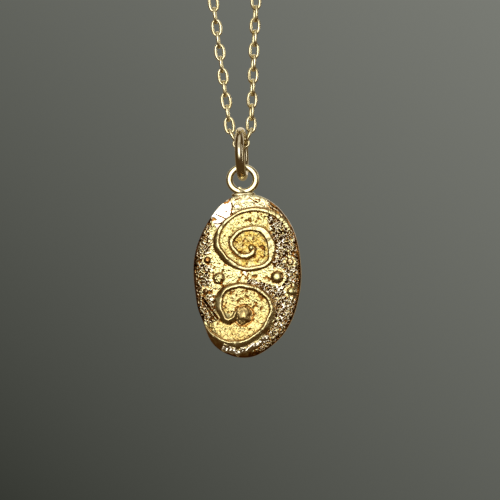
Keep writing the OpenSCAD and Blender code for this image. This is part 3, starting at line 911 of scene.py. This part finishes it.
def solder_foot(rows, sides):
    """An egg: at the height H sin a its section is the flat oval times cos a."""
    lift = np.linspace(-pi / 2, pi / 2, rows + 2)[1:-1, None]
    shape = oval(round_angles(sides), FOOT_WIDTH / 2, FOOT_DEPTH / 2, FOOT_POWER)
    tall = np.broadcast_to(np.sin(lift) * FOOT_HEIGHT, (rows, sides))
    foot = np.stack([np.cos(lift) * shape[:, 0], np.cos(lift) * shape[:, 1], tall], -1)
    return np.concatenate([foot.reshape(-1, 3), [[0, 0, -FOOT_HEIGHT], [0, 0, FOOT_HEIGHT]]])


middle = PLATE_MIDDLE + LOOP_OVER_PLATE
wire = loop_wire(*LOOP_GRID) * [LOOP_STRETCH, 1, 1] + [0, 0, middle]
foot = solder_foot(*FOOT_GRID) + [0, 0, middle - LOOP_RADIUS - FOOT_UNDER_WIRE]
faces = capped(*LOOP_GRID) + [group + len(wire) for group in capped(*FOOT_GRID)]
piece = make_piece("loop", np.concatenate([wire, foot]), faces, wire_gold, "drop", ["pendant"])

# %% Jump ring
RING_GRID = (128, 32)
# A round wire carried round a circle, in the YZ plane
outward = upright(oval(round_angles(RING_GRID[0]), 1, 1))[:, [1, 0, 2]]
shape = oval(round_angles(RING_GRID[1]), RING_WIRE / 2, RING_WIRE / 2)
points = tube(outward * RING_RADIUS, outward, np.array([[1, 0, 0]]), shape) + [0, 0, RING_MIDDLE]
faces = [grid_faces(*RING_GRID, True, True)[:, ::-1]]
piece = make_piece("jump_ring_wire", points, faces, dimmed_ring_gold, "ring", ["jump_ring"])

# %% [markdown]
# The chain is a loop of flattened cable links. It runs straight up from the jump ring on both sides
# and round the peg that it hangs from, and each link is turned a quarter against the next. The same
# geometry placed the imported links.

# %% The chain's way
LINK_LENGTH, LINK_WIDTH, LINK_WIRE = 2.3, 1.48, 0.26
PLAY = 0.18
PITCH = LINK_LENGTH - 2 * LINK_WIRE - PLAY
LINKS_RIGHT, LINKS_LEFT = 100, 142
ARM_LEAN = radians(4.85)
RIGHT_TWIST = radians(20)
# The middle link lies in the jump ring, and the next one on each side climbs from its end
CLIMB, CLIMB_SEAT = radians(62), radians(72)
CLIMB_PLAY = PLAY + 0.05
CLIMB_SHIFT = np.array([0.12, 0.06])
LINK_REACH = (LINK_LENGTH - LINK_WIRE) / 2
MIDDLE_Z = -(RING_WIRE + LINK_WIDTH) / 2 - PLAY
CLIMB_FOOT = np.array([(LINK_LENGTH - LINK_WIDTH) / 2, MIDDLE_Z]) + CLIMB_SHIFT


def toward(angle):
    """The unit arrow at an angle from the level."""
    return np.array([cos(angle), sin(angle)])


CLIMB_MIDDLE = CLIMB_FOOT + LINK_REACH * toward(CLIMB)
ARM_UP = np.array([sin(ARM_LEAN), cos(ARM_LEAN)])
ARM_FOOT = CLIMB_FOOT + 2 * LINK_REACH * toward(CLIMB) - (LINK_WIRE + CLIMB_PLAY) * toward(CLIMB_SEAT)
ARM_START = ARM_FOOT + LINK_REACH * ARM_UP

# %% The bend over the peg
CLASP_RADIUS, EYE_RADIUS, EYE_WIRE, EYE_SINK = 2.45, 0.85, 0.5, 0.1
END_WIRE, END_SMALL, END_LARGE = 0.4, 1.1, 1.3
# From the last right link past the small ring, the clasp and the large ring to the next link, each
# piece hangs in the one before it: twice the inner radii, less the play between the wires
link_in = LINK_LENGTH / 2 - LINK_WIRE
rings_in = END_SMALL + END_LARGE - END_WIRE
CLASP_STRETCH = 2 * (link_in + rings_in + EYE_RADIUS + CLASP_RADIUS) - EYE_WIRE / 2 - EYE_SINK - 4 * PLAY
AROUND = PITCH * (LINKS_RIGHT + LINKS_LEFT - 4) + CLASP_STRETCH
BEND_ANGLE = pi / 2 + ARM_LEAN
LEAN_SIN, LEAN_COS = ARM_UP
RISE = AROUND / 2 + ARM_START[0] * (LEAN_SIN - BEND_ANGLE * LEAN_COS)
RISE = RISE / (LEAN_COS + BEND_ANGLE * LEAN_SIN)
BEND_RADIUS = ARM_START[0] * LEAN_COS + RISE * LEAN_SIN
BEND_Z = ARM_START[1] + RISE
SIDE_LENGTH = RISE * LEAN_COS - ARM_START[0] * LEAN_SIN
BEND_LENGTH = 2 * BEND_RADIUS * BEND_ANGLE


def way(s):
    """Place (x, z), lean from the vertical and share of the way round the bend, at the distances s.

    Straight up the right side, then round the bend as (R cos a, R sin a) with a growing evenly,
    and straight down the left side.
    """
    share = np.clip((s - SIDE_LENGTH) / BEND_LENGTH, 0, 1)
    a = share * 2 * BEND_ANGLE - ARM_LEAN
    rising = ARM_START + s[:, None] * ARM_UP
    falling = (ARM_START + (AROUND - s)[:, None] * ARM_UP) * [-1, 1]
    bend = [0, BEND_Z] + BEND_RADIUS * oval(a, 1, 1)
    parts = [s < SIDE_LENGTH, s < SIDE_LENGTH + BEND_LENGTH]
    x, z = [np.select(parts, [rising[:, k], bend[:, k]], falling[:, k]) for k in (0, 1)]
    lean = np.select(parts, [ARM_LEAN, -a], pi - ARM_LEAN)
    return np.stack([x, z, lean, share], -1)


print(f"bend radius {BEND_RADIUS:.3f} mm, chain {AROUND:.1f} mm between the arms' first links")

# %% The links' places
# Rows of (x, z, lean, roll) for each node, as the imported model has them
QUARTER = pi / 2
left_rows = way(AROUND - PITCH * np.arange(LINKS_LEFT - 1))
right_rows = way(PITCH * np.arange(LINKS_RIGHT - 1))
for rows in (left_rows, right_rows):
    rows[:, 3] = QUARTER * (np.arange(len(rows)) % 2) + RIGHT_TWIST * (1 - rows[:, 3])
middle = [0, MIDDLE_Z, QUARTER, 0]
climb_left = [-CLIMB_MIDDLE[0], CLIMB_MIDDLE[1], CLIMB - QUARTER, QUARTER]
climb_right = [CLIMB_MIDDLE[0], CLIMB_MIDDLE[1], QUARTER - CLIMB, QUARTER + RIGHT_TWIST / 2]
left_rows = np.vstack([middle, climb_left, left_rows])
right_rows = np.vstack([climb_right, right_rows])


def put(points, rows):
    """Turns points round Z by the roll, then round Y by the lean, and moves them to each place."""
    px, py, pz = points.T
    x, z, lean, roll = rows.T[:, :, None]
    px, py = px * np.cos(roll) - py * np.sin(roll), px * np.sin(roll) + py * np.cos(roll)
    across = px * np.cos(lean) + pz * np.sin(lean) + x
    up = pz * np.cos(lean) - px * np.sin(lean) + RING_TOP + z
    return np.stack([across, py, up], -1).reshape(-1, 3)


# %% Links
LINK_POWER = 2.3
# The rolled wire: its width at a link's sides and at its ends, its depth and its section's power
LINK_SIDE, LINK_END, LINK_DEEP = 0.4, 0.3, 0.4
LINK_WIRE_POWER = 3.0
FINE_REACH = 30.0
FINE_GRID, PLAIN_GRID = (28, 8), (12, 5)


def link_shape(around, sides):
    """An oval of flattened wire, standing in the XZ plane.

    The wire is rolled wider at the sides than at the ends: its width is end + (side - end) c c,
    with c the cosine of the angle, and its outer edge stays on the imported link's.
    """
    angle = round_angles(around) + pi / around
    outer = oval(angle, LINK_WIDTH / 2, LINK_LENGTH / 2, LINK_POWER)
    along = np.roll(outer, -1, 0) - np.roll(outer, 1, 0)
    outward = upright(along[:, ::-1] * [1, -1] / np.linalg.norm(along, axis=1)[:, None])
    wide = (LINK_END + (LINK_SIDE - LINK_END) * np.cos(angle) ** 2)[:, None]
    middle = upright(outer) - outward * wide / 2
    shape = oval(round_angles(sides), 0.5, LINK_DEEP / 2, LINK_WIRE_POWER)
    return tube(middle, outward * wide, SIDEWAYS, shape), grid_faces(around, sides, True, True)


def chain(name, rows, node):
    """All links of one node, joined: fine ones near the pendant, plain ones further up."""
    near = rows[:, 1] < FINE_REACH
    points, faces, start = [], [], 0
    for chosen, grid in ((rows[near], FINE_GRID), (rows[~near], PLAIN_GRID)):
        link, quads = link_shape(*grid)
        points.append(put(link, chosen))
        copies = start + np.arange(len(chosen)) * len(link)
        faces.append((quads + copies[:, None, None]).reshape(-1, 4))
        start += len(chosen) * len(link)
    piece = make_piece(name, np.concatenate(points), faces, chain_gold, "chain", [node])


chain("links_left", left_rows, "chain_left")
chain("links_right", right_rows, "chain_right")

# %% Clasp and end rings
for title in ("clasp", "end_ring_small", "end_ring_large"):
    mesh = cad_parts[title].data
    mesh.materials.clear()
    mesh.materials.append(wire_gold)
    shade_smooth(mesh)
    print(f"{title}: {len(mesh.polygons)} faces kept")

# %% [markdown]
# The pendant hangs before a plain grey wall, in soft studio light. A wide lamp in front, a little
# above and to the left, lights all that faces the camera, and a smaller one beside it adds glints. A
# strip at the right and a weak lamp overhead light the edges, and a wide lamp lights the back. Metal
# shows what it mirrors: the mirrored room is dim in front, which darkens the slopes of the relief, and
# lighter behind. What the camera sees and what lights the floor have their own colours.

# %% Floor, room and lamps
FLOOR_COLOUR = "#C6C0B4"
FLOOR_DROP = 400.0
FLOOR_SIDE = 6000.0
WALL_LEFT, WALL_RIGHT = "#373933", "#797B74"
ROOM_BEFORE, ROOM_BEHIND = "#58442A", "#9C8A66"
AMBIENT = "#A8A69F"
WALL_GRADIENT = (0.681, 0.063, 0.73)
WALL_REACH = 0.051
# The mirrored room gets lighter between these backward parts of a direction
BEHIND = (0.5, 0.85)
# Azimuth, elevation, distance, width, height, power and spread: in degrees, mm and watts
LAMPS = {
    "front_softbox": (-4, 24, 500, 900, 840, 0.65, 104),
    "front_key": (-5, 10, 480, 240, 340, 0.13, 60),
    "right_strip": (80, 5, 600, 80, 500, 0.07, 70),
    "overhead": (15, 72, 450, 480, 300, 0.07, 80),
    "back_softbox": (180, 33, 600, 1400, 660, 1.1, 130),
}

material, tree = new_material("pale_floor")
add_shader(tree, {"Base Color": linear(FLOOR_COLOUR), "Roughness": 0.9})
corners = FLOOR_SIDE / 2 * np.array([[-1, -1], [1, -1], [1, 1], [-1, 1]])
points = np.insert(corners, 2, -FLOOR_DROP, axis=1)
floor = add_object("floor", make_mesh("floor", points, [np.array([[0, 1, 2, 3]])], material))
floor.visible_glossy = False

# Each lamp is soft and faces the pendant. Azimuth 0 is in front and 90 to the right
for name, (azimuth, elevation, distance, width, height, power, spread) in LAMPS.items():
    a, e = radians(azimuth), radians(elevation)
    away = Vector((sin(a) * cos(e), -cos(a) * cos(e), sin(e)))
    lamp = add_object(name, bpy.data.lights.new(name, "AREA"))
    lamp.data.shape = "RECTANGLE"
    lamp.data.size, lamp.data.size_y = width * MM, height * MM
    lamp.data.energy, lamp.data.spread = power, radians(spread)
    lamp.location = (AIM + away * distance) * MM
    lamp.rotation_euler = away.to_track_quat("Z", "Y").to_euler()
    lamp.visible_camera = False

# The wall's grey changes along one slanting direction, within the few degrees that the camera sees
world = bpy.data.worlds.new("room")
world.use_nodes = True
tree = world.node_tree
tree.nodes.clear()
place = add(tree, "TexCoord").outputs["Generated"]
slant = {"operation": "DOT_PRODUCT", 0: place, 1: WALL_GRADIENT}
across = add(tree, "VectorMath", slant).outputs["Value"]
backward = add(tree, "SeparateXYZ", {"Vector": place}).outputs["Y"]
wall = blend(tree, WALL_LEFT, WALL_RIGHT, ramp(tree, across, -WALL_REACH, WALL_REACH))
mirrored = blend(tree, ROOM_BEFORE, ROOM_BEHIND, ramp(tree, backward, *BEHIND))
path = add(tree, "LightPath").outputs
unseen = blend(tree, AMBIENT, mirrored, path["Is Glossy Ray"])
shown = blend(tree, unseen, wall, path["Is Camera Ray"])
background = add(tree, "Background", {"Color": shown})
add(tree, "OutputWorld", {"Surface": background.outputs[0]})
bpy.context.scene.world = world
bpy.context.scene.view_settings.view_transform = "Standard"
print("lamps", ", ".join(LAMPS))
